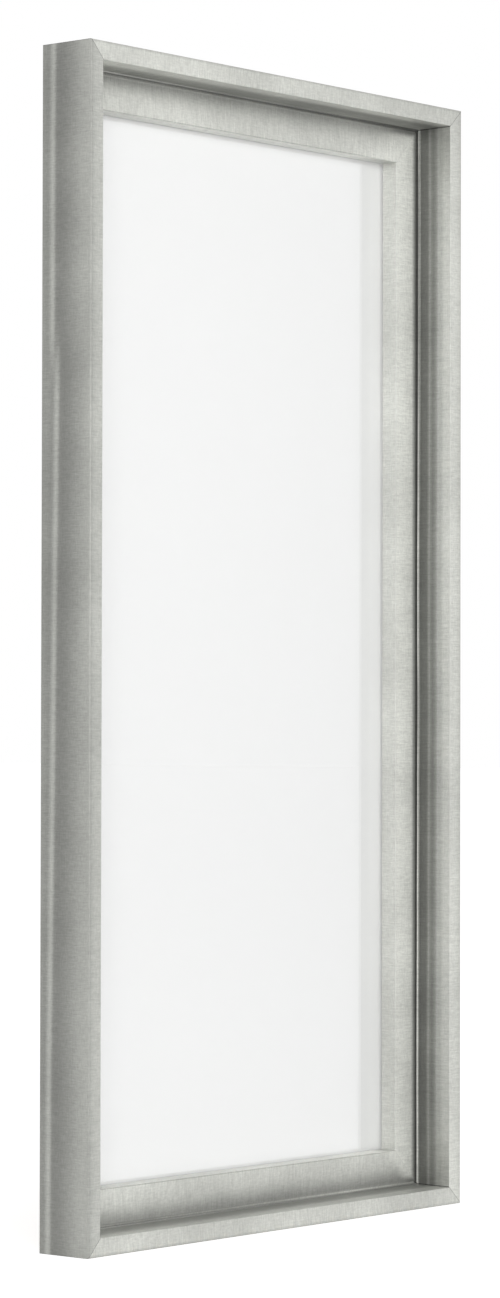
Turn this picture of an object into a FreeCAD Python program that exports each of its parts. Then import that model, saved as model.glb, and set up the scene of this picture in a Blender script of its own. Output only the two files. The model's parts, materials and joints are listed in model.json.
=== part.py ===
"""Tall wall picture frame: four mitred mouldings around glass, a blank sheet and a back board.

Sizes are in millimetres. +Z is up, the front faces -Y and X runs to the right. The origin is the
middle of the bottom edge, half way through the depth.

Each side of the frame is drawn lying along X with its outer side down, then turned into place.
There u is the distance in from the outer side, and v is the depth behind the front plane.
"""
import FreeCAD, Part
import math
import os

# Rebate that takes the glass, the sheet and the back board
rebate_width = 300.0
rebate_height = 650.0
pane_clearance = 0.5
glass_thickness = 2.0
sheet_thickness = 0.3
board_thickness = 3.0

# Moulding, widths across the section
moulding_width = 35.0
lip_cover = 7.0
ridge_width = 11.0
wall_rake = 0.25
bead_width = 0.6
groove_width = 1.5
bevel_width = 5.3

# Moulding, depths
ridge_fall = 0.6
lip_setback = 26.1
lip_fall = 1.1
lip_side_depth = 11.1
groove_depth = 1.0
bevel_depth = 3.9

# Moulding, rounded edges
outer_arris_radius = 1.0
inner_arris_radius = 0.6
sight_edge_radius = 0.5
groove_edge_radius = 0.3
bevel_edge_radius = 0.4

# V-nails, two in each mitre
nail_leg = 5.0
nail_flare = 0.8
nail_thickness = 0.6
nail_margin = 4.0
nail_cover = 3.5

# Pan-head screws of the turn buttons
screw_shank_radius = 1.5
screw_length = 12.0
screw_point_length = 2.5
screw_head_radius = 2.9
screw_head_height = 1.7
screw_head_chamfer = 0.7
screw_slot_width = 0.7
screw_slot_length = 3.4
screw_slot_depth = 0.8
pilot_clearance = 0.05
head_clearance = 0.05

# Turn buttons
button_setback = 8.0
button_reach = 15.0
button_heel_radius = 5.0
button_tip_radius = 3.5
button_thickness = 1.0
button_clearance = 0.08
button_distance_short = 85.0
button_distance_long = 150.0
buttons_per_side = 2

# Sawtooth hanger on the top side, and its nails
hanger_length = 46.0
hanger_width = 10.0
hanger_thickness = 0.8
hanger_foot = 8.0
hanger_ramp = 3.0
hanger_standoff = 1.8
hanger_corner = 1.5
tooth_pitch = 3.0
tooth_depth = 1.6
tack_shank_radius = 0.7
tack_length = 9.0
tack_head_radius = 1.8
tack_head_height = 0.6
tack_clearance = 0.15

# Rubber bumpers that keep the back off the wall
bumper_radius = 5.0
bumper_height = 4.0
bumper_chamfer = 1.2
bumper_distance_up = 16.0
bumper_distance_in = 30.0

# Worked out from the sizes above
back_width = moulding_width - lip_cover
outer_width = rebate_width + 2 * back_width
outer_height = rebate_height + 2 * back_width
moulding_depth = lip_setback + lip_side_depth + glass_thickness + sheet_thickness + board_thickness
front_y = -(moulding_depth + bumper_height) / 2
back_y = front_y + moulding_depth
glass_y = front_y + lip_setback + lip_side_depth

wall_foot = ridge_width + wall_rake
groove_start = wall_foot + bead_width
groove_end = groove_start + groove_width
groove_floor = lip_setback + lip_fall + groove_depth

button_pivot = back_width - button_setback
hanger_middle = (bevel_width + back_width) / 2

ORIGIN = FreeCAD.Vector(0, 0, 0)
ALONG_X = FreeCAD.Vector(1, 0, 0)
ALONG_Y = FreeCAD.Vector(0, 1, 0)
ALONG_Z = FreeCAD.Vector(0, 0, 1)

# side: turn about Y in degrees, its length, the frame's size across it, corner to turn button
SIDES = {
    "bottom": (0, outer_width, outer_height, button_distance_short),
    "left": (90, outer_height, outer_width, button_distance_long),
    "top": (180, outer_width, outer_height, button_distance_short),
    "right": (270, outer_height, outer_width, button_distance_long),
}


def seat_on_side(shape, side):
    """Turn a shape drawn on the bottom side about the frame's middle, onto another side."""
    turn, _, across, _ = SIDES[side]
    seated = shape.copy()
    seated.translate(ALONG_Z * (-across / 2))
    seated.rotate(ORIGIN, ALONG_Y, turn)
    seated.translate(ALONG_Z * (outer_height / 2))
    return seated


# ---- outlines ----

def corner_arc(before, corner, after, radius):
    """Start, middle and end of the arc that rounds one corner of an outline."""
    back = (before - corner).normalize()
    ahead = (after - corner).normalize()
    half_angle = back.getAngle(ahead) / 2
    inward = (back + ahead).normalize()
    setback = radius / math.tan(half_angle)
    bulge = radius / math.sin(half_angle) - radius
    return corner + back * setback, corner + inward * bulge, corner + ahead * setback


def rounded_face(corners):
    """A flat face from (point, radius) corners, each rounded by its own radius."""
    points = [point for point, _ in corners]
    edges = []
    starts = []
    ends = []
    for index, (point, radius) in enumerate(corners):
        before = points[index - 1]
        after = points[(index + 1) % len(points)]
        if radius > 0:
            start, middle, end = corner_arc(before, point, after, radius)
            edges.append(Part.Arc(start, middle, end).toShape())
        else:
            start, end = point, point
        starts.append(start)
        ends.append(end)
    for index, end in enumerate(ends):
        edges.append(Part.makeLine(end, starts[(index + 1) % len(starts)]))
    return Part.Face(Part.Wire(Part.__sortEdges__(edges)))


# ---- moulding ----

def section_point(u, v):
    """A point of the moulding's section: u in from the outer side, v behind the front plane."""
    return FreeCAD.Vector(0, front_y + v, u)


def moulding_section():
    """The moulding's section: outer ridge, raked wall, bead, groove, lip, rebate, back bevel."""
    glass_depth = lip_setback + lip_side_depth
    corners = [
        (section_point(0, 0), outer_arris_radius),
        (section_point(ridge_width, ridge_fall), inner_arris_radius),
        (section_point(wall_foot, lip_setback), 0),
        (section_point(groove_start, lip_setback + bead_width), 0),
        (section_point(groove_start, groove_floor), 0),
        (section_point(groove_end, groove_floor), 0),
        (section_point(groove_end, lip_setback + lip_fall), groove_edge_radius),
        (section_point(moulding_width, lip_setback), sight_edge_radius),
        (section_point(moulding_width, glass_depth), 0),
        (section_point(back_width, glass_depth), 0),
        (section_point(back_width, moulding_depth), 0),
        (section_point(bevel_width, moulding_depth), bevel_edge_radius),
        (section_point(0, moulding_depth - bevel_depth), bevel_edge_radius),
    ]
    return rounded_face(corners)


def mitred_length(length):
    """A block whose two ends slope at 45 degrees, long side down, to trim a moulding to."""
    half = length / 2
    corners = [
        FreeCAD.Vector(-half, front_y, 0),
        FreeCAD.Vector(half, front_y, 0),
        FreeCAD.Vector(half - moulding_width, front_y, moulding_width),
        FreeCAD.Vector(moulding_width - half, front_y, moulding_width),
    ]
    outline = Part.makePolygon(corners + corners[:1])
    return Part.Face(outline).extrude(ALONG_Y * moulding_depth)


def moulding(side):
    """One side of the frame, mitred at both ends."""
    length = SIDES[side][1]
    bar = moulding_section().extrude(ALONG_X * length)
    bar.translate(ALONG_X * (-length / 2))
    return seat_on_side(bar.common(mitred_length(length)), side)


# ---- V-nails ----

def nail_bar(start, turn, length):
    """One straight run of a V-nail's bent strip, seen from the back, turned about Y."""
    depth = moulding_depth - groove_floor - nail_cover
    half = nail_thickness / 2
    run = Part.makeBox(length + 2 * half, depth, nail_thickness, FreeCAD.Vector(-half, 0, -half))
    run.rotate(ORIGIN, ALONG_Y, turn)
    run.translate(FreeCAD.Vector(start[0], back_y - depth, start[1]))
    return run


def v_nail(u):
    """A V-nail across the bottom left mitre, its point u from both outer sides."""
    x = u - outer_width / 2
    runs = [
        nail_bar((x, u), 0, nail_leg),
        nail_bar((x + nail_leg, u), 45, nail_flare),
        nail_bar((x, u), -90, nail_leg),
        nail_bar((x, u + nail_leg), -135, nail_flare),
    ]
    return runs[0].multiFuse(runs[1:]).removeSplitter()


def v_nails():
    """Two V-nails in each of the four mitres."""
    outer = bevel_width + nail_margin
    inner = back_width - nail_margin - nail_leg - nail_flare
    left_bottom = [v_nail(outer), v_nail(inner)]
    middle = ALONG_Z * (outer_height / 2)
    left = left_bottom + [nail.mirror(middle, ALONG_Z) for nail in left_bottom]
    return left + [nail.mirror(ORIGIN, ALONG_X) for nail in left]


# ---- screws and tacks ----

def rim_at(shape, y):
    """The round edges of a shape that lie at one depth."""
    return [edge for edge in shape.Edges if edge.BoundBox.YMin > y - 0.01]


def driven(x, u, standoff, shank_radius, length, point_length):
    """A pointed shank driven into the back of a side, its head's underside standoff behind it."""
    seat = FreeCAD.Vector(x, back_y + standoff, u)
    straight = length - point_length
    shank = Part.makeCylinder(shank_radius, straight, seat, -ALONG_Y)
    point = Part.makeCone(shank_radius, 0, point_length, seat - ALONG_Y * straight, -ALONG_Y)
    return seat, [shank, point]


def pan_head_screw(x, standoff):
    """The screw of a turn button, with a chamfered head and a cross slot."""
    sizes = (screw_shank_radius, screw_length, screw_point_length)
    seat, shank = driven(x, button_pivot, standoff, *sizes)
    top = seat + ALONG_Y * screw_head_height
    head = Part.makeCylinder(screw_head_radius, screw_head_height, seat, ALONG_Y)
    head = head.makeChamfer(screw_head_chamfer, rim_at(head, top.y))
    for turn in (0, 90):
        slot = Part.makeBox(screw_slot_length, screw_slot_depth, screw_slot_width)
        middle = FreeCAD.Vector(screw_slot_length / 2, screw_slot_depth, screw_slot_width / 2)
        slot.translate(-middle)
        slot.rotate(ORIGIN, ALONG_Y, turn)
        slot.translate(top)
        head = head.cut(slot)
    return head.multiFuse(shank).removeSplitter()


def hanger_tack(x, standoff):
    """A flat-headed tack that holds one foot of the hanger."""
    point_length = 2 * tack_shank_radius
    sizes = (tack_shank_radius, tack_length, point_length)
    seat, shank = driven(x, hanger_middle, standoff, *sizes)
    head = Part.makeCylinder(tack_head_radius, tack_head_height, seat, ALONG_Y)
    return head.multiFuse(shank).removeSplitter()


def pilot_hole(x, u, shank_radius, depth):
    """The hole in the moulding that a screw or tack bites into."""
    start = FreeCAD.Vector(x, back_y, u)
    radius = shank_radius + pilot_clearance
    return Part.makeCylinder(radius, depth + pilot_clearance, start, -ALONG_Y)


# ---- turn buttons ----

def button_places(side):
    """Distances along a side, from its middle, at which its turn buttons are screwed on."""
    _, length, _, end_distance = SIDES[side]
    first = end_distance - length / 2
    pitch = -2 * first / (buttons_per_side - 1)
    return [first + pitch * index for index in range(buttons_per_side)]


def turn_button(x):
    """A flat steel finger, round at both ends, from its screw in over the back board."""
    pivot = button_pivot
    heel = button_heel_radius
    tip = button_tip_radius
    spread = math.acos((heel - tip) / button_reach)
    y = back_y

    def rim(centre_u, radius, angle):
        return FreeCAD.Vector(x + radius * math.sin(angle), y, centre_u + radius * math.cos(angle))

    far = pivot + button_reach
    edges = [
        Part.Arc(rim(pivot, heel, spread), rim(pivot, heel, math.pi), rim(pivot, heel, -spread)),
        Part.LineSegment(rim(pivot, heel, -spread), rim(far, tip, -spread)),
        Part.Arc(rim(far, tip, -spread), rim(far, tip, 0), rim(far, tip, spread)),
        Part.LineSegment(rim(far, tip, spread), rim(pivot, heel, spread)),
    ]
    outline = Part.Wire([edge.toShape() for edge in edges])
    plate = Part.Face(outline).extrude(ALONG_Y * button_thickness)
    hole_radius = screw_shank_radius + button_clearance
    start = FreeCAD.Vector(x, y, pivot)
    return plate.cut(Part.makeCylinder(hole_radius, button_thickness, start, ALONG_Y))


# ---- sawtooth hanger ----

def hanger_feet():
    """Distances along the top side, from its middle, of the hanger's two tacks."""
    reach = (hanger_length - hanger_foot) / 2
    return [-reach, reach]


def hanger_strip():
    """The hanger's bent strip: two flat feet, two ramps and a raised middle."""
    ramp_end = hanger_length / 2 - hanger_foot
    middle_end = ramp_end - hanger_ramp
    shift = hanger_thickness * math.tan(math.atan2(hanger_standoff, hanger_ramp) / 2)
    under = [(hanger_length / 2, 0), (ramp_end, 0), (middle_end, hanger_standoff)]
    over = [
        (middle_end + shift, hanger_standoff + hanger_thickness),
        (ramp_end + shift, hanger_thickness),
        (hanger_length / 2, hanger_thickness),
    ]
    right = over + under
    left = [(-x, rise) for x, rise in reversed(right)]
    start_u = hanger_middle - hanger_width / 2
    points = [FreeCAD.Vector(x, back_y + rise, start_u) for x, rise in right + left]
    return Part.Face(Part.makePolygon(points + points[:1])).extrude(ALONG_Z * hanger_width)


def hanger_teeth():
    """The notches to cut along the strip's edge that faces the glass."""
    reach = hanger_length / 2 - hanger_foot - hanger_ramp
    count = int(2 * reach / tooth_pitch)
    edge_u = hanger_middle + hanger_width / 2
    first = -count * tooth_pitch / 2
    outline = []
    for index in range(count):
        start = first + index * tooth_pitch
        outline.append(FreeCAD.Vector(start, back_y, edge_u))
        outline.append(FreeCAD.Vector(start + tooth_pitch / 2, back_y, edge_u - tooth_depth))
    outline.append(FreeCAD.Vector(-first, back_y, edge_u))
    outline.append(FreeCAD.Vector(-first, back_y, edge_u + tooth_depth))
    outline.append(FreeCAD.Vector(first, back_y, edge_u + tooth_depth))
    depth = hanger_standoff + 2 * hanger_thickness
    return Part.Face(Part.makePolygon(outline + outline[:1])).extrude(ALONG_Y * depth)


def sawtooth_hanger():
    """A bent steel strip with a toothed edge that catches on a nail in the wall."""
    hanger = hanger_strip().cut(hanger_teeth())
    end_x = hanger_length / 2
    corners = [
        edge for edge in hanger.Edges
        if abs(abs(edge.CenterOfMass.x) - end_x) < 0.01 and edge.BoundBox.ZLength < 0.01
    ]
    hanger = hanger.makeChamfer(hanger_corner, corners)
    for x in hanger_feet():
        start = FreeCAD.Vector(x, back_y, hanger_middle)
        radius = tack_shank_radius + tack_clearance
        hanger = hanger.cut(Part.makeCylinder(radius, hanger_thickness, start, ALONG_Y))
    return hanger


# ---- back ----

def panel(front, thickness):
    """A flat panel that lies in the rebate with the pane's clearance all round."""
    width = rebate_width - 2 * pane_clearance
    height = rebate_height - 2 * pane_clearance
    corner = FreeCAD.Vector(-width / 2, front, back_width + pane_clearance)
    return Part.makeBox(width, thickness, height, corner)


def wall_bumper(x):
    """A soft round bumper on the back of the bottom side."""
    start = FreeCAD.Vector(x, back_y, bumper_distance_up)
    dome = Part.makeCylinder(bumper_radius, bumper_height, start, ALONG_Y)
    return dome.makeChamfer(bumper_chamfer, rim_at(dome, back_y + bumper_height))


# ---- the whole frame ----

def build_frame():
    """Every node of the frame, as a shape by name."""
    nodes = {}
    screws = []
    holes = {side: [] for side in SIDES}

    screw_standoff = button_thickness + head_clearance
    screw_depth = screw_length - screw_standoff
    for side in SIDES:
        for number, x in enumerate(button_places(side), 1):
            hole = pilot_hole(x, button_pivot, screw_shank_radius, screw_depth)
            nodes[f"button_{side}_{number}"] = seat_on_side(turn_button(x), side)
            screws.append(seat_on_side(pan_head_screw(x, screw_standoff), side))
            holes[side].append(seat_on_side(hole, side))

    tacks = []
    tack_depth = tack_length - hanger_thickness
    for x in hanger_feet():
        hole = pilot_hole(x, hanger_middle, tack_shank_radius, tack_depth)
        tacks.append(seat_on_side(hanger_tack(x, hanger_thickness), "top"))
        holes["top"].append(seat_on_side(hole, "top"))

    nails = v_nails()
    for side in SIDES:
        nodes[f"{side}_rail"] = moulding(side).cut(nails + holes[side])

    bumper_x = outer_width / 2 - bumper_distance_in
    nodes["v_nails"] = Part.makeCompound(nails)
    nodes["button_screws"] = Part.makeCompound(screws)
    nodes["sawtooth_hanger"] = seat_on_side(sawtooth_hanger(), "top")
    nodes["hanger_tacks"] = Part.makeCompound(tacks)
    nodes["wall_bumpers"] = Part.makeCompound([wall_bumper(-bumper_x), wall_bumper(bumper_x)])

    sheet_y = glass_y + glass_thickness
    nodes["glass_pane"] = panel(glass_y, glass_thickness)
    nodes["insert_sheet"] = panel(sheet_y, sheet_thickness)
    nodes["back_board"] = panel(sheet_y + sheet_thickness, board_thickness)
    return nodes


os.makedirs("parts", exist_ok=True)
for node_name, node_shape in build_frame().items():
    node_shape.exportStep(f"parts/{node_name}.step")
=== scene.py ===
import json
import math

import bpy
from mathutils import Matrix, Vector


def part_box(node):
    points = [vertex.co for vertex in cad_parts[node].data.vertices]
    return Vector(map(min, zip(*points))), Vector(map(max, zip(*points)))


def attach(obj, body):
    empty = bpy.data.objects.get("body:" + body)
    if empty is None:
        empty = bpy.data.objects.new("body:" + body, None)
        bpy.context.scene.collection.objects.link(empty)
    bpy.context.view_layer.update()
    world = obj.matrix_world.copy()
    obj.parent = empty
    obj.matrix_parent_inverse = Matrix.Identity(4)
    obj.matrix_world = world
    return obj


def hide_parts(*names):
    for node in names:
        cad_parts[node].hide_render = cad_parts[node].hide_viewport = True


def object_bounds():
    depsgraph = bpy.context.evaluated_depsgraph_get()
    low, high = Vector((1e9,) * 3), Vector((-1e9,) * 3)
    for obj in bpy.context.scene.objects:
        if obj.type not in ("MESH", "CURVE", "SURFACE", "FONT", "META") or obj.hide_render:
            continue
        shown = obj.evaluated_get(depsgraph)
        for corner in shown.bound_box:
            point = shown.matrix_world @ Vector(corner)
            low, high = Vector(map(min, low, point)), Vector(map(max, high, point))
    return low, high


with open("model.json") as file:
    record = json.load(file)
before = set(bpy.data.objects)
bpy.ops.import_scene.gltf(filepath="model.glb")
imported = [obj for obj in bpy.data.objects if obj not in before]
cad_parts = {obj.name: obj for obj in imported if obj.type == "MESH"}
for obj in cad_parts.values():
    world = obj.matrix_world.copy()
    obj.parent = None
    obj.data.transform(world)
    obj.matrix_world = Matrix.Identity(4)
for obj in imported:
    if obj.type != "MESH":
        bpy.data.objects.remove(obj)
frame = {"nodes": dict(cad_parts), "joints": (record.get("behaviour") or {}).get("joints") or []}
cad_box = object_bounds()

# Tall silver picture frame: finishes, back fittings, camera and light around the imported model.

# ---- sizes, in metres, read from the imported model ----

MM = 0.001
LOW, HIGH = (Vector(corner) for corner in cad_box)
WIDTH = HIGH.x - LOW.x
HEIGHT = HIGH.z
RAIL_LOW, RAIL_HIGH = (Vector(corner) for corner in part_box("bottom_rail"))
SHEET_LOW, SHEET_HIGH = (Vector(corner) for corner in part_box("insert_sheet"))
FRONT, BACK = RAIL_LOW.y, RAIL_HIGH.y
DEPTH = BACK - FRONT


# ---- shader helpers ----

def node(tree, kind, settings=None, **inputs):
    """Add a shader node, with iN for its input at index N; a socket given as a value is linked."""
    made = tree.nodes.new(kind)
    for name, value in (settings or {}).items():
        setattr(made, name, value)
    for name, value in inputs.items():
        socket = made.inputs[int(name[1:]) if name[1:].isdigit() else name.replace("_", " ")]
        if isinstance(value, bpy.types.NodeSocket):
            tree.links.new(value, socket)
        else:
            socket.default_value = value
    return made


def calc(tree, operation, first, second=0.0, third=0.0):
    """A Math node's result."""
    settings = {"operation": operation}
    return node(tree, "ShaderNodeMath", settings, i0=first, i1=second, i2=third).outputs[0]


def times(tree, *factors):
    """The product of several numbers."""
    product = factors[0]
    for factor in factors[1:]:
        product = calc(tree, "MULTIPLY", product, factor)
    return product


def tinted(tree, colour, factor):
    """A colour times another colour or a number."""
    settings = {"operation": "MULTIPLY"}
    return node(tree, "ShaderNodeVectorMath", settings, i0=colour, i1=factor).outputs[0]


def ramp(tree, value, reach, stops):
    """A grey read from stops given as (millimetres, grey), for a value between 0 and reach."""
    made = node(tree, "ShaderNodeValToRGB", Fac=calc(tree, "DIVIDE", value, reach * MM))
    elements = made.color_ramp.elements
    while len(elements) < len(stops):
        elements.new(1.0)
    for element, (place, grey) in zip(elements, stops):
        element.position = place / reach
        element.color = (grey, grey, grey, 1)
    return calc(tree, "MULTIPLY", made.outputs["Color"], 1.0)


def eased(tree, value, start, end, curve="LINEAR", low=0.0, high=1.0):
    """A number that goes from low to high while value goes from start to end."""
    settings = {"interpolation_type": curve}
    made = node(tree, "ShaderNodeMapRange", settings, Value=value, From_Min=start, From_Max=end,
                To_Min=low, To_Max=high)
    return made.outputs["Result"]


def noise(tree, vector, scale, detail=2.0, roughness=0.5):
    """A noise texture's grey value."""
    made = node(tree, "ShaderNodeTexNoise", Vector=vector, Scale=scale, Detail=detail,
                Roughness=roughness)
    return made.outputs["Fac"]


def around_one(tree, grey, swing):
    """A grey between 0 and 1 made into a factor that swings about 1."""
    return calc(tree, "MULTIPLY_ADD", grey, 2 * swing, 1 - swing)


def stretched(tree, vector, scale):
    """The coordinates scaled by a different amount along each axis."""
    return node(tree, "ShaderNodeMapping", Vector=vector, Scale=scale).outputs["Vector"]


def mixed(tree, share, first, second):
    """A colour between first and second."""
    settings = {"data_type": "RGBA"}
    return node(tree, "ShaderNodeMix", settings, i0=share, i6=first, i7=second).outputs[2]


def blended(tree, share, first, second):
    """A number between first and second."""
    return node(tree, "ShaderNodeMix", i0=share, i2=first, i3=second).outputs[0]


def object_place(tree):
    """The piece's own coordinates."""
    return node(tree, "ShaderNodeTexCoord").outputs["Object"]


def feed(tree, shader, **sockets):
    """Link values to the shader's inputs."""
    for name, value in sockets.items():
        tree.links.new(value, shader.inputs[name.replace("_", " ")])


def relief(tree, height, strength, distance):
    """A bump made from a height."""
    made = node(tree, "ShaderNodeBump", Strength=strength, Distance=distance, Height=height)
    return made.outputs["Normal"]


def material(name):
    """An empty node material with its Principled shader."""
    made = bpy.data.materials.new(name)
    made.use_nodes = True
    return made, made.node_tree, made.node_tree.nodes["Principled BSDF"]


# ---- the silver foil ----

SILVER = (0.880, 0.890, 0.832)

# The moulding's section in millimetres: its width, its depth, and how deep its inner wall goes.
SECTION_WIDTH, SECTION_DEPTH, WALL_DEPTH = 35, 42.5, 27.5
# Where the inner wall lies in the section, in millimetres in from the outer side and in depth.
WALL_INSETS, WALL_DEPTHS = (10.6, 11.9), (0.95, 27.4)
OUTER_SIDE_INSET = 0.6 * MM
GROOVE_FAR = 13.35 * MM

# Painted shade, painted highlights and painted reflections over the section, as (millimetres,
# tone): how light the foil shows, painted darker deep in the walls and in the groove. A side or
# wall goes by depth, a face by the distance in from the outer side. A level rail has a table for
# its left and one for its right end.
OUTER_SIDE = [(0, 0.47), (1, 0.535), (4, 0.51), (8, 0.475), (12, 0.415), (16, 0.365),
              (20, 0.315), (24, 0.288), (26, 0.295), (27, 0.315), (27.9, 0.41), (29, 0.525),
              (30.2, 0.56), (31.6, 0.46), (33, 0.365), (34, 0.35), (35, 0.36), (38, 0.39),
              (42, 0.39)]
UPRIGHT_WALL = [(0, 0.48), (6, 0.48), (7, 0.445), (8, 0.40), (9.5, 0.39), (10.7, 0.41),
                (12, 0.30), (13.5, 0.235), (15, 0.205), (16.6, 0.25), (17.6, 0.33),
                (18.6, 0.24), (19.6, 0.175), (22, 0.18), (24.7, 0.19), (25.4, 0.46),
                (26.3, 0.55), (26.9, 0.08)]
UPRIGHT_FACE = [(0, 0.42), (1.2, 0.50), (2.2, 0.555), (5, 0.605), (10.4, 0.63), (11.1, 0.57),
                (11.3, 0.16), (13.9, 0.19), (14.5, 0.20), (15.2, 0.29), (16, 0.42), (17, 0.57),
                (18, 0.65), (20, 0.675), (23, 0.70), (26, 0.72), (32, 0.75), (34.0, 0.75),
                (34.6, 0.65), (34.9, 0.565)]
TOP_WALL = ([(0, 0.64), (6, 0.70), (8, 0.67), (10, 0.61), (12, 0.51), (14, 0.435), (16, 0.39),
             (20, 0.39), (24, 0.38), (25, 0.44), (26, 0.34), (27, 0.12)],
            [(0, 0.63), (4, 0.67), (6, 0.63), (8, 0.52), (10, 0.36), (12, 0.305), (14, 0.285),
             (16, 0.29), (20, 0.43), (24, 0.52), (25, 0.62), (26, 0.34), (27, 0.10)])
TOP_FACE = ([(0, 0.46), (1.2, 0.55), (2.0, 0.635), (10.4, 0.637), (11.1, 0.58), (11.3, 0.20),
             (12.5, 0.28), (13.0, 0.37), (13.5, 0.42), (14.2, 0.31), (15, 0.285), (18, 0.375),
             (22, 0.50), (26, 0.58), (30, 0.615), (34.1, 0.625), (34.35, 0.42), (34.8, 0.42),
             (34.9, 0.84)],
            [(0, 0.46), (1.2, 0.55), (2.0, 0.62), (10.4, 0.63), (11.1, 0.56), (11.3, 0.16),
             (12.5, 0.22), (13.0, 0.34), (13.5, 0.41), (14.2, 0.31), (15, 0.315), (18, 0.395),
             (22, 0.49), (26, 0.565), (30, 0.60), (34.1, 0.61), (34.35, 0.42), (34.8, 0.42),
             (34.9, 0.95)])
BOTTOM_WALL = ([(0, 0.69), (4, 0.764), (6, 0.72), (8, 0.63), (10, 0.535), (12, 0.465),
                (14, 0.425), (16, 0.41), (20, 0.42), (24, 0.43), (26, 0.34), (27, 0.30)],
               [(0, 0.62), (4, 0.67), (6, 0.69), (8, 0.70), (10, 0.69), (12, 0.57),
                (14, 0.475), (16, 0.43), (20, 0.425), (24, 0.43), (26, 0.30), (27, 0.26)])
BOTTOM_FACE = ([(0, 0.46), (1.2, 0.56), (2.0, 0.639), (6, 0.637), (10.4, 0.605), (11.1, 0.56),
                (11.3, 0.20), (11.7, 0.22), (12.0, 0.36), (12.9, 0.44), (13.3, 0.36),
                (14.2, 0.34), (15, 0.335), (18, 0.42), (22, 0.545), (26, 0.615), (30, 0.65),
                (34.1, 0.67), (34.35, 0.45), (34.8, 0.45), (34.9, 0.90)],
               [(0, 0.45), (1.2, 0.55), (2.0, 0.592), (6, 0.586), (10.4, 0.56), (11.1, 0.54),
                (11.3, 0.20), (11.7, 0.24), (12.0, 0.55), (12.9, 0.68), (13.3, 0.38),
                (14.2, 0.28), (15, 0.265), (18, 0.33), (22, 0.437), (26, 0.52), (30, 0.56),
                (34.1, 0.59), (34.35, 0.43), (34.8, 0.43), (34.9, 0.98)])
END_TO_END = 5.0

# Each kind of rail: the axis it runs along, its tables of painted shade and reflections, and on a
# level one the distance from the right-hand mitre at which its lip starts to take the upright's
# painted shading.
UPRIGHT = {"along": "z", "wall": UPRIGHT_WALL, "face": UPRIGHT_FACE}
TOP = {"along": "x", "wall": TOP_WALL, "face": TOP_FACE, "lip_blend": 45 * MM}
BOTTOM = {"along": "x", "wall": BOTTOM_WALL, "face": BOTTOM_FACE, "lip_blend": 15 * MM}
LIP_BLENDED = 1 * MM

# The painted highlight band on an upright's outer side: the shift and slant of its lower and upper
# run, the heights between which one gives way to the other, and the depths over which the slant
# sets in.
BAND_RUNS = ((2.2 * MM, -0.0098), (5.2 * MM, -0.0077))
BAND_CHANGE = (0.50, 0.545)
BAND_ONSET = (1 * MM, 6 * MM)

# Painted light: the top rail's inner wall is lighter near the left corner, by this factor and over
# this reach.
PAINTED_CORNER_LIFT, CORNER_REACH = 1.48, (15 * MM, 58 * MM)

# Painted light on the uprights from left to right: its slope per metre and its value in the
# middle.
SWEEP_SLOPE, SWEEP_MIDDLE = 0.66, 0.9475

# The dark line along a mitre, wider on the wall where it is also painted shade in the inner
# corner:
# half its width, how much wider it is on the wall, and its tones.
SEAM_HALF, SEAM_ON_WALL, LIP_SEAM, RIDGE_SEAM = 0.22 * MM, 0.35 * MM, 0.90, 0.38

# Where the fibreboard is bare: the back behind the bevel, and the rebate.
BACK_SKIN, BACK_INSET = 0.15 * MM, 9 * MM
REBATE_DEPTH, REBATE_INSET = 37.25 * MM, 27.8 * MM

RIDGE_METAL, LIP_METAL = 0.5, 0.15


def profile_place(tree):
    """Object coordinates, the distances in from the outer sides and ends, and the depth."""
    place = object_place(tree)
    x, y, z = node(tree, "ShaderNodeSeparateXYZ", Vector=place).outputs
    from_side = calc(tree, "SUBTRACT", WIDTH / 2, calc(tree, "ABSOLUTE", x))
    from_end = calc(tree, "MINIMUM", z, calc(tree, "SUBTRACT", HEIGHT, z))
    depth = calc(tree, "SUBTRACT", y, FRONT)
    return place, x, z, from_side, from_end, depth


def above(tree, value, limit):
    """1 where value is over the limit."""
    return calc(tree, "GREATER_THAN", value, limit)


def below(tree, value, limit):
    """1 where value is under the limit."""
    return calc(tree, "LESS_THAN", value, limit)


def within(tree, value, low, high):
    """1 where value lies between low and high millimetres."""
    return times(tree, above(tree, value, low * MM), below(tree, value, high * MM))


def along_rail(tree, x, value, reach, tables):
    """Painted shading read from one table, or from a left and a right one blended along a level
    rail.
    """
    if isinstance(tables, list):
        return ramp(tree, value, reach, tables)
    left, right = (ramp(tree, value, reach, stops) for stops in tables)
    return blended(tree, calc(tree, "MULTIPLY_ADD", x, END_TO_END, 0.5), left, right)


def upright_side_painted_shading(tree, z, depth):
    """An upright's outer side with painted shade: its painted highlight band slants along it, in a
    lower and an upper run.
    """
    onset = eased(tree, depth, *BAND_ONSET)
    runs = []
    for shift, slope in BAND_RUNS:
        slant = times(tree, calc(tree, "MULTIPLY_ADD", z, slope, shift), onset)
        runs.append(ramp(tree, calc(tree, "SUBTRACT", depth, slant), SECTION_DEPTH, OUTER_SIDE))
    return blended(tree, eased(tree, z, *BAND_CHANGE, "SMOOTHSTEP"), *runs)


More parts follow.
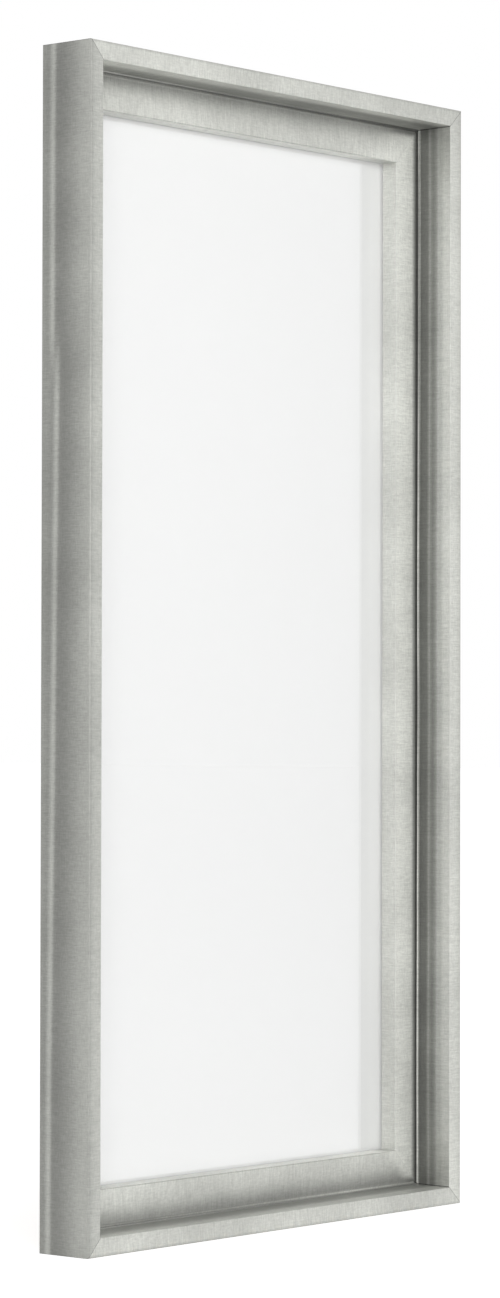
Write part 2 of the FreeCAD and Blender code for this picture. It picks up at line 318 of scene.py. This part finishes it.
def painted_section_shading(tree, rail, x, z, inset, depth, on_wall):
    """Painted shade, highlights and reflections over the section; the lips' painted shading
    matches at the right-hand mitres.
    """
    face = along_rail(tree, x, inset, SECTION_WIDTH, rail["face"])
    wall = along_rail(tree, x, depth, WALL_DEPTH, rail["wall"])
    if rail is UPRIGHT:
        side = upright_side_painted_shading(tree, z, depth)
    else:
        side = ramp(tree, depth, SECTION_DEPTH, OUTER_SIDE)
        to_mitre = calc(tree, "SUBTRACT", calc(tree, "SUBTRACT", WIDTH / 2, x), inset)
        near = eased(tree, to_mitre, rail["lip_blend"], LIP_BLENDED, "SMOOTHSTEP")
        face = blended(tree, times(tree, near, above(tree, inset, GROOVE_FAR)), face,
                       ramp(tree, inset, SECTION_WIDTH, UPRIGHT_FACE))
    if rail is TOP:
        # Painted light near the left corner of the top rail's wall.
        start, end = (reach - WIDTH / 2 for reach in CORNER_REACH)
        wall = times(tree, wall, eased(tree, x, start, end, low=PAINTED_CORNER_LIFT, high=1.0))
    on_side = below(tree, inset, OUTER_SIDE_INSET)
    return blended(tree, on_wall, blended(tree, on_side, face, side), wall)


def silver_foil(name, rail):
    """Brushed silver foil on a kind of rail, with painted shade, highlights and reflections over
    its section, bare fibreboard where the foil ends.
    """
    made, tree, shader = material(name)
    level = rail["along"] == "x"
    place, x, z, from_side, from_end, depth = profile_place(tree)
    inset = from_end if level else from_side

    fine, short, weave, long = 1250.0, 140.0, 1000.0, 240.0
    across = (fine, short, short) if level else (short, short, fine)
    threads = (long, weave, weave) if level else (weave, weave, long)
    brush = noise(tree, stretched(tree, place, across), 1.0, 3.0, 0.65)
    thread = noise(tree, stretched(tree, place, threads), 1.0, 2.0, 0.6)
    speckle = noise(tree, place, 1000.0, 3.0, 0.7)
    cloud = noise(tree, place, 17.0, 2.0, 0.45)
    drift = calc(tree, "MULTIPLY_ADD", noise(tree, place, 4.0), 3.2 * MM, -1.6 * MM)

    grain = times(tree, around_one(tree, brush, 0.33), around_one(tree, thread, 0.19),
                  around_one(tree, speckle, 0.15), around_one(tree, cloud, 0.25))
    # Painted light: the right upright lighter than the left.
    painted_sweep = 1.0 if level else calc(tree, "MULTIPLY_ADD", x, SWEEP_SLOPE, SWEEP_MIDDLE)
    on_wall = times(tree, within(tree, inset, *WALL_INSETS), within(tree, depth, *WALL_DEPTHS))
    # Painted shade, highlights and reflections over the section.
    tone = painted_section_shading(tree, rail, x, z, inset, calc(tree, "ADD", depth, drift), on_wall)
    # A dark line along each mitre; on the wall it is wider and is painted shade in the inner
    # corner.
    to_joint = calc(tree, "ABSOLUTE", calc(tree, "SUBTRACT", from_side, from_end))
    on_joint = below(tree, to_joint,
                     calc(tree, "MULTIPLY_ADD", on_wall, SEAM_ON_WALL, SEAM_HALF))
    on_ridge = below(tree, inset, GROOVE_FAR)
    seam = blended(tree, on_joint, 1.0, blended(tree, on_ridge, LIP_SEAM, RIDGE_SEAM))
    silver = tinted(tree, SILVER, times(tree, tone, grain, painted_sweep, seam))

    on_back = times(tree, above(tree, depth, DEPTH - BACK_SKIN), above(tree, inset, BACK_INSET))
    in_rebate = times(tree, above(tree, depth, REBATE_DEPTH), above(tree, inset, REBATE_INSET))
    bare = calc(tree, "MAXIMUM", on_back, in_rebate)
    fibre = noise(tree, place, 1000.0, 5.0, 0.75)
    board = mixed(tree, fibre, (0.36, 0.26, 0.165, 1), (0.62, 0.48, 0.33, 1))

    metal = blended(tree, above(tree, inset, GROOVE_FAR), RIDGE_METAL, LIP_METAL)
    gloss = calc(tree, "MULTIPLY_ADD", brush, 0.16, 0.32)
    height = calc(tree, "ADD", brush, calc(tree, "MULTIPLY", thread, 0.6))
    feed(tree, shader, Base_Color=mixed(tree, bare, silver, board),
         Metallic=blended(tree, bare, metal, 0.0), Roughness=blended(tree, bare, gloss, 0.85),
         Normal=relief(tree, height, 0.3, 0.06 * MM))
    return made


# ---- the other finishes ----

# Each grained finish: its dark and light colour, roughness, metal, size of grain, and relief.
GRAINED = {
    "zinc_plate": ((0.50, 0.51, 0.53), (0.70, 0.71, 0.72), 0.34, 0.9, 900.0, 0.15),
    "button_steel": ((0.42, 0.43, 0.45), (0.62, 0.63, 0.65), 0.30, 0.95, 500.0, 0.15),
    "yellow_zinc_plate": ((0.52, 0.42, 0.22), (0.76, 0.66, 0.42), 0.30, 0.9, 400.0, 0.15),
    "spring_steel": ((0.40, 0.41, 0.43), (0.56, 0.57, 0.59), 0.32, 0.95, 900.0, 0.15),
    "soft_rubber": ((0.035, 0.035, 0.035), (0.06, 0.06, 0.06), 0.72, 0.0, 1500.0, 0.4),
    "white_card": ((0.775, 0.775, 0.775), (0.785, 0.785, 0.785), 0.24, 0.0, 700.0, 0.04),
}
# The numbers that make a finish glossy clear glass or glossy card.
GLASS_GLOSS = {"Roughness": 0.0, "IOR": 1.52, "Transmission Weight": 1.0}
CARD_GLOSS = {"IOR": 1.6, "Specular IOR Level": 1.0, "Coat Weight": 1.0, "Coat IOR": 1.8,
              "Coat Roughness": 0.10}


def set_numbers(shader, numbers):
    """Set uniform numbers on the shader's own sockets."""
    for name, value in numbers.items():
        shader.inputs[name].default_value = value


def clear_glass():
    """Clear float glass that lets lamps through to the card behind it."""
    made, tree, shader = material("clear_glass")
    shader.inputs["Base Color"].default_value = (0.992, 0.996, 0.994, 1)
    set_numbers(shader, GLASS_GLOSS)
    clear = node(tree, "ShaderNodeBsdfTransparent")
    path = node(tree, "ShaderNodeLightPath")
    passing = calc(tree, "MAXIMUM", path.outputs["Is Shadow Ray"], path.outputs["Is Diffuse Ray"])
    mix = node(tree, "ShaderNodeMixShader", i0=passing, i1=shader.outputs[0], i2=clear.outputs[0])
    tree.links.new(mix.outputs[0], tree.nodes["Material Output"].inputs["Surface"])
    return made


def grained(name, numbers=None):
    """A finish with a fine grain in its colour, gloss and surface."""
    dark, light, roughness, metallic, scale, strength = GRAINED[name]
    made, tree, shader = material(name)
    speck = noise(tree, object_place(tree), scale, 5.0, 0.65)
    shader.inputs["Metallic"].default_value = metallic
    feed(tree, shader, Base_Color=mixed(tree, speck, dark + (1,), light + (1,)),
         Roughness=calc(tree, "MULTIPLY_ADD", speck, 0.14, roughness - 0.07),
         Normal=relief(tree, speck, strength, 0.05 * MM))
    set_numbers(shader, numbers or {})
    return made


def hardboard():
    """Brown pressed hardboard: fine fibre, larger darker flecks, a slightly glazed face."""
    made, tree, shader = material("hardboard")
    place = object_place(tree)
    fibre = noise(tree, stretched(tree, place, (700.0, 700.0, 260.0)), 1.0, 5.0, 0.7)
    fleck = noise(tree, place, 60.0, 3.0, 0.6)
    brown = mixed(tree, fibre, (0.17, 0.095, 0.05, 1), (0.36, 0.235, 0.14, 1))
    patch = mixed(tree, fleck, (0.80, 0.80, 0.80, 1), (1.15, 1.12, 1.10, 1))
    feed(tree, shader, Base_Color=tinted(tree, brown, patch),
         Roughness=calc(tree, "MULTIPLY_ADD", fibre, 0.2, 0.42),
         Normal=relief(tree, fibre, 0.25, 0.08 * MM))
    return made


def finish_packed_nodes(finishes):
    """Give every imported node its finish."""
    for name, piece in frame["nodes"].items():
        for slot in piece.material_slots:
            slot.material = finishes[name]


# ---- modelling helpers ----

def begin(operator, name, **settings):
    """Add a primitive with nothing else selected."""
    bpy.ops.object.select_all(action="DESELECT")
    operator(**settings)
    piece = bpy.context.object
    piece.name = name
    return piece


def choose(*pieces):
    """Select just these pieces, with the first of them active."""
    bpy.ops.object.select_all(action="DESELECT")
    for piece in pieces:
        piece.select_set(True)
    bpy.context.view_layer.objects.active = pieces[0]


def pick(piece, kind, test):
    """Open the piece for editing with only those vertices, edges or faces selected that pass."""
    bpy.ops.object.mode_set(mode="EDIT")
    bpy.ops.mesh.select_mode(type=kind)
    bpy.ops.mesh.select_all(action="DESELECT")
    bpy.ops.object.mode_set(mode="OBJECT")
    mesh = piece.data
    if kind == "VERT":
        for vertex in mesh.vertices:
            vertex.select = test(vertex.co)
    elif kind == "EDGE":
        for edge in mesh.edges:
            edge.select = all(test(mesh.vertices[index].co) for index in edge.vertices)
    else:
        for face in mesh.polygons:
            face.select = test(face)
    bpy.ops.object.mode_set(mode="EDIT")


def leave():
    """Back to object mode."""
    bpy.ops.object.mode_set(mode="OBJECT")


def settle(piece):
    """Put the piece's place and turn into its mesh."""
    choose(piece)
    bpy.ops.object.transform_apply(location=True, rotation=True, scale=True)


def copied(piece, name, place, turn=(0, 0, 0)):
    """A copy with its own mesh, set down at a place."""
    twin = piece.copy()
    twin.data = piece.data.copy()
    twin.name = name
    bpy.context.collection.objects.link(twin)
    twin.location = place
    twin.rotation_euler = turn
    settle(twin)
    return twin


def joined(pieces, name):
    """Several pieces made into one object."""
    choose(*pieces)
    bpy.ops.object.join()
    pieces[0].name = name
    return pieces[0]


def smooth(piece, degrees=35):
    """Smooth shading, kept sharp at real corners."""
    choose(piece)
    bpy.ops.object.shade_smooth_by_angle(angle=math.radians(degrees))


def round_edges(piece, name, width, sharpest=None):
    """Round the piece's edges, or only those that turn by more than so many degrees."""
    edge = piece.modifiers.new(name, "BEVEL")
    edge.width, edge.segments = width, 2
    if sharpest:
        edge.limit_method, edge.angle_limit = "ANGLE", math.radians(sharpest)
    bpy.ops.object.modifier_apply(modifier=edge.name)


def discard(piece):
    """Remove a cutter, or a pattern once its copies are made."""
    bpy.data.objects.remove(piece)


def carve(piece, cutter):
    """Cut one solid out of another and throw the cutter away."""
    choose(piece)
    cut = piece.modifiers.new("cut", "BOOLEAN")
    cut.operation = "DIFFERENCE"
    cut.solver = "EXACT"
    cut.object = cutter
    bpy.ops.object.modifier_apply(modifier=cut.name)
    discard(cutter)


def drum(name, vertices, radius, height):
    """A cylinder that stands on the origin along Y."""
    piece = begin(bpy.ops.mesh.primitive_cylinder_add, name, vertices=vertices, radius=radius,
                  depth=height, rotation=(-math.pi / 2, 0, 0), location=(0, height / 2, 0))
    settle(piece)
    return piece


def extrude(distance):
    """Draw the selected faces out along Y."""
    bpy.ops.mesh.extrude_region_move(TRANSFORM_OT_translate={"value": (0, distance, 0)})


def dress(piece, finish, slot, body, *nodes):
    """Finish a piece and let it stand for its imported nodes."""
    piece.data.materials.clear()
    piece.data.materials.append(finish)
    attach(piece, body)
    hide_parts(*nodes)


# ---- pieces ----

CARD_GAP, CARD_EDGE = 0.05 * MM, 0.06 * MM
BUTTON_HEEL, BUTTON_REACH, BUTTON_THICKNESS = 5 * MM, 15 * MM, 0.85 * MM
BUTTON_TAPER, BUTTON_TIP = 0.7, 0.72
BUTTON_LIFT = 0.08 * MM
PANEL_MARGIN, PANEL_SLOPE, PANEL_DEPTH = 1.1 * MM, 0.35 * MM, 0.16 * MM
SCREW_HEAD, SCREW_HEIGHT, SCREW_SHANK, SCREW_LENGTH = 2.9 * MM, 1.7 * MM, 1.45 * MM, 10 * MM
SCREW_CROSS = (3.4 * MM, 0.7 * MM, 0.8 * MM)
SCREW_SEAT = 1.05 * MM
TACK_HEAD, TACK_HEIGHT, TACK_SHANK, TACK_LENGTH = 1.8 * MM, 0.6 * MM, 0.68 * MM, 8 * MM
BUMPER_TAPER, BUMPER_ROUND, BUMPER_RIM, BUMPER_DISH = 0.93, 1.5 * MM, 0.8 * MM, 0.12 * MM


def insert_card(finish):
    """The blank card close behind the glass, its cut edges very slightly rounded."""
    low, high = SHEET_LOW.copy(), SHEET_HIGH.copy()
    low.y += CARD_GAP
    middle, size = (low + high) / 2, high - low
    card = begin(bpy.ops.mesh.primitive_cube_add, "blank_card", size=1, location=middle,
                 scale=size)
    settle(card)
    round_edges(card, "cut_edge", CARD_EDGE)
    dress(card, finish, "white_paper", "frame", "insert_sheet")


def button_pattern():
    """A stamped steel turn button: heel at the origin, tip up, a shallow stamped panel."""
    tab = begin(bpy.ops.mesh.primitive_circle_add, "tab", vertices=48, radius=BUTTON_HEEL,
                fill_type="NGON", rotation=(math.pi / 2, 0, 0), location=(0, 0, 0))
    settle(tab)
    pick(tab, "VERT", lambda co: co.z > 0.01 * MM)
    bpy.ops.transform.resize(value=(BUTTON_TAPER, 1, BUTTON_TAPER))
    bpy.ops.transform.translate(value=(0, 0, BUTTON_REACH - BUTTON_HEEL * BUTTON_TIP))
    leave()
    pick(tab, "FACE", lambda face: True)
    extrude(BUTTON_THICKNESS)
    bpy.ops.mesh.select_all(action="SELECT")
    bpy.ops.mesh.normals_make_consistent(inside=False)
    leave()
    pick(tab, "FACE", lambda face: face.normal.y > 0.9)
    bpy.ops.mesh.inset(thickness=PANEL_MARGIN)
    bpy.ops.mesh.inset(thickness=PANEL_SLOPE)
    bpy.ops.transform.translate(value=(0, -PANEL_DEPTH, 0))
    leave()
    round_edges(tab, "rim", 0.14 * MM, 50)
    smooth(tab)
    return tab


def turn_buttons(finish):
    """One button on every pivot, its tip over the back board."""
    pattern = button_pattern()
    turns = {"bottom": 0, "left": math.pi / 2, "top": math.pi, "right": -math.pi / 2}
    for joint in frame["joints"]:
        side = joint["child"].split("_")[1]
        place = Vector(joint["pos_m"]) + Vector((0, BUTTON_LIFT, 0))
        tab = copied(pattern, "tab_" + joint["child"], place, (0, turns[side], 0))
        dress(tab, finish, "button_steel", joint["child"], joint["child"])
    discard(pattern)


def cut_cross(screw, height, wide, narrow, deep):
    """Cut a cross recess with sloping sides into a screw's head."""
    for size in ((wide, deep * 2, narrow), (narrow, deep * 2, wide)):
        cutter = begin(bpy.ops.mesh.primitive_cube_add, "driver", size=1,
                       location=(0, height, 0), scale=size)
        settle(cutter)
        pick(cutter, "VERT", lambda co: co.y < height)
        bpy.ops.transform.resize(value=(0.72, 1, 0.72))
        leave()
        carve(screw, cutter)


def screw_pattern(name, head, height, shank, length, cross=None):
    """A round head on a pointed shank along Y, with the head's underside at the origin."""
    screw = drum(name, 40, head, height)
    pick(screw, "FACE", lambda face: face.normal.y < -0.9)
    bpy.ops.mesh.inset(thickness=head - shank)
    extrude(-length * 0.8)
    extrude(-length * 0.2)
    bpy.ops.transform.resize(value=(0.15, 1, 0.15))
    leave()
    pick(screw, "EDGE", lambda co: co.y > height * 0.99)
    bpy.ops.mesh.bevel(offset=height * 0.62, segments=6, profile=0.55)
    leave()
    if cross:
        cut_cross(screw, height, *cross)
    smooth(screw)
    return screw


def button_screws(finish):
    """A cross-recessed pan head over every button's pivot, each turned a little differently."""
    pattern = screw_pattern("screw", SCREW_HEAD, SCREW_HEIGHT, SCREW_SHANK, SCREW_LENGTH,
                            SCREW_CROSS)
    screws = []
    for number, joint in enumerate(frame["joints"]):
        place = Vector(joint["pos_m"])
        place.y = BACK + SCREW_SEAT
        screws.append(copied(pattern, "screw_%d" % number, place, (0, 0.7 * number + 0.3, 0)))
    discard(pattern)
    dress(joined(screws, "pan_head_screws"), finish, "zinc_screws", "frame", "button_screws")


def pair(pattern, name, reach, y, z):
    """Two copies of a pattern, as far to the left as to the right; the pattern goes."""
    pieces = [copied(pattern, "%s_%d" % (name, side), (side * reach, y, z)) for side in (-1, 1)]
    discard(pattern)
    return pieces


def hanger_pins(finish):
    """Two domed tacks through the sawtooth hanger's feet."""
    low, high = (Vector(corner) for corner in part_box("hanger_tacks"))
    pattern = screw_pattern("pin", TACK_HEAD, TACK_HEIGHT, TACK_SHANK, TACK_LENGTH)
    pins = pair(pattern, "pin", high.x - TACK_HEAD, high.y - TACK_HEIGHT, (low.z + high.z) / 2)
    dress(joined(pins, "hanger_pins"), finish, "hanger_steel", "frame", "hanger_tacks")


def bumpers(finish):
    """Two soft domed bumpers in the bottom corners of the back."""
    low, high = (Vector(corner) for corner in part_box("wall_bumpers"))
    radius, height = (high.z - low.z) / 2, high.y - low.y
    pattern = drum("bumper", 48, radius, height)
    pick(pattern, "VERT", lambda co: co.y > height / 2)
    bpy.ops.transform.resize(value=(BUMPER_TAPER, 1, BUMPER_TAPER))
    leave()
    pick(pattern, "EDGE", lambda co: co.y > height / 2)
    bpy.ops.mesh.bevel(offset=BUMPER_ROUND, segments=6, profile=0.5)
    leave()
    pick(pattern, "FACE", lambda face: face.normal.y > 0.999 and face.area > 10 * MM * MM)
    bpy.ops.mesh.inset(thickness=BUMPER_RIM)
    bpy.ops.transform.translate(value=(0, -BUMPER_DISH, 0))
    leave()
    smooth(pattern)
    feet = pair(pattern, "bumper", high.x - radius, low.y, (low.z + high.z) / 2)
    dress(joined(feet, "rubber_bumpers"), finish, "bumper_rubber", "frame", "wall_bumpers")


# ---- stage, light and camera ----

ROOM_LIGHT = 0.55
FLOOR_GLOW, MIRRORED_FLOOR_GLOW = 0.58, 0.50
LAMP = {"place": (-1.8, -2.3, 0.40), "target": (0, 0, 0.35), "size": (2.2, 2.2), "watts": 100}

# The eye's lens and sensor in millimetres, its angles in radians, and its place from the frame's
# lower left corner in front, in heights of the frame.
LENS, SENSOR = 110.69, 36.0
HEADING, TILT, ROLL = 0.8726, 0.0185, 0.0020
EYE = Vector((-2.41824, -2.20039, 0.43809))


def seen_directly(tree):
    """1 for rays that show the surroundings: camera, glossy and transmission rays."""
    path = node(tree, "ShaderNodeLightPath")
    seen = calc(tree, "MAXIMUM", path.outputs["Is Camera Ray"], path.outputs["Is Glossy Ray"])
    return calc(tree, "MAXIMUM", seen, path.outputs["Is Transmission Ray"])


def floor():
    """A plain pale floor that is white where no shadow falls."""
    plane = begin(bpy.ops.mesh.primitive_plane_add, "pale_floor", size=40, location=(0, 0, 0))
    made, tree, shader = material("pale_floor")
    shader.inputs["Base Color"].default_value = (0.82, 0.82, 0.82, 1)
    shader.inputs["Roughness"].default_value = 0.9
    shader.inputs["Emission Color"].default_value = (1, 1, 1, 1)
    mirrored = node(tree, "ShaderNodeLightPath").outputs["Is Glossy Ray"]
    glow = times(tree, seen_directly(tree),
                 blended(tree, mirrored, FLOOR_GLOW, MIRRORED_FLOOR_GLOW))
    feed(tree, shader, Emission_Strength=glow)
    plane.data.materials.append(made)


def white_surroundings():
    """A world that lights softly and is seen as plain white."""
    world = bpy.data.worlds.new("white_room")
    bpy.context.scene.world = world
    world.use_nodes = True
    tree = world.node_tree
    background = tree.nodes["Background"]
    background.inputs["Color"].default_value = (1, 1, 1, 1)
    feed(tree, background, Strength=blended(tree, seen_directly(tree), ROOM_LIGHT, 1.0))


def soft_lamp(name, place, target, size, watts):
    """A soft box that faces a point and isn't itself mirrored."""
    data = bpy.data.lights.new(name, "AREA")
    data.shape = "RECTANGLE"
    data.size, data.size_y = size
    data.energy = watts
    lamp = bpy.data.objects.new(name, data)
    bpy.context.collection.objects.link(lamp)
    lamp.location = place
    aim = Vector(target) - Vector(place)
    lamp.rotation_euler = aim.to_track_quat("-Z", "Y").to_euler()
    lamp.visible_glossy = False


def camera():
    """The eye: to the left in front, a little below the frame's middle."""
    data = bpy.data.cameras.new("eye")
    data.sensor_width = SENSOR
    data.lens = LENS
    ahead = Vector((math.sin(HEADING) * math.cos(TILT), math.cos(HEADING) * math.cos(TILT),
                    math.sin(TILT)))
    level = Vector((math.cos(HEADING), -math.sin(HEADING), 0))
    upward = level.cross(ahead)
    right = level * math.cos(ROLL) + upward * math.sin(ROLL)
    up = upward * math.cos(ROLL) - level * math.sin(ROLL)
    eye = bpy.data.objects.new("eye", data)
    bpy.context.collection.objects.link(eye)
    turn = Matrix((right, up, -ahead)).transposed().to_4x4()
    place = Vector((-WIDTH / 2, FRONT, 0)) + HEIGHT * EYE
    eye.matrix_world = Matrix.Translation(place) @ turn
    bpy.context.scene.camera = eye


# ---- the whole scene ----

zinc, steel, brass, spring, rubber = (
    grained(name) for name in ("zinc_plate", "button_steel", "yellow_zinc_plate",
                               "spring_steel", "soft_rubber"))
card = grained("white_card", CARD_GLOSS)
# Each kind of rail has its own copy of the foil, with its own painted shade and reflections.
upright = silver_foil("silver_foil_upright", UPRIGHT)
finishes = {"left_rail": upright, "right_rail": upright,
            "top_rail": silver_foil("silver_foil_top", TOP),
            "bottom_rail": silver_foil("silver_foil_bottom", BOTTOM),
            "glass_pane": clear_glass(), "insert_sheet": card, "back_board": hardboard(),
            "v_nails": spring, "button_screws": zinc, "sawtooth_hanger": brass,
            "hanger_tacks": brass, "wall_bumpers": rubber}
finishes.update({joint["child"]: steel for joint in frame["joints"]})
finish_packed_nodes(finishes)

insert_card(card)
turn_buttons(steel)
button_screws(zinc)
hanger_pins(brass)
bumpers(rubber)

floor()
white_surroundings()
soft_lamp("front_box", **LAMP)
camera()
bpy.context.scene.view_settings.view_transform = "Standard"
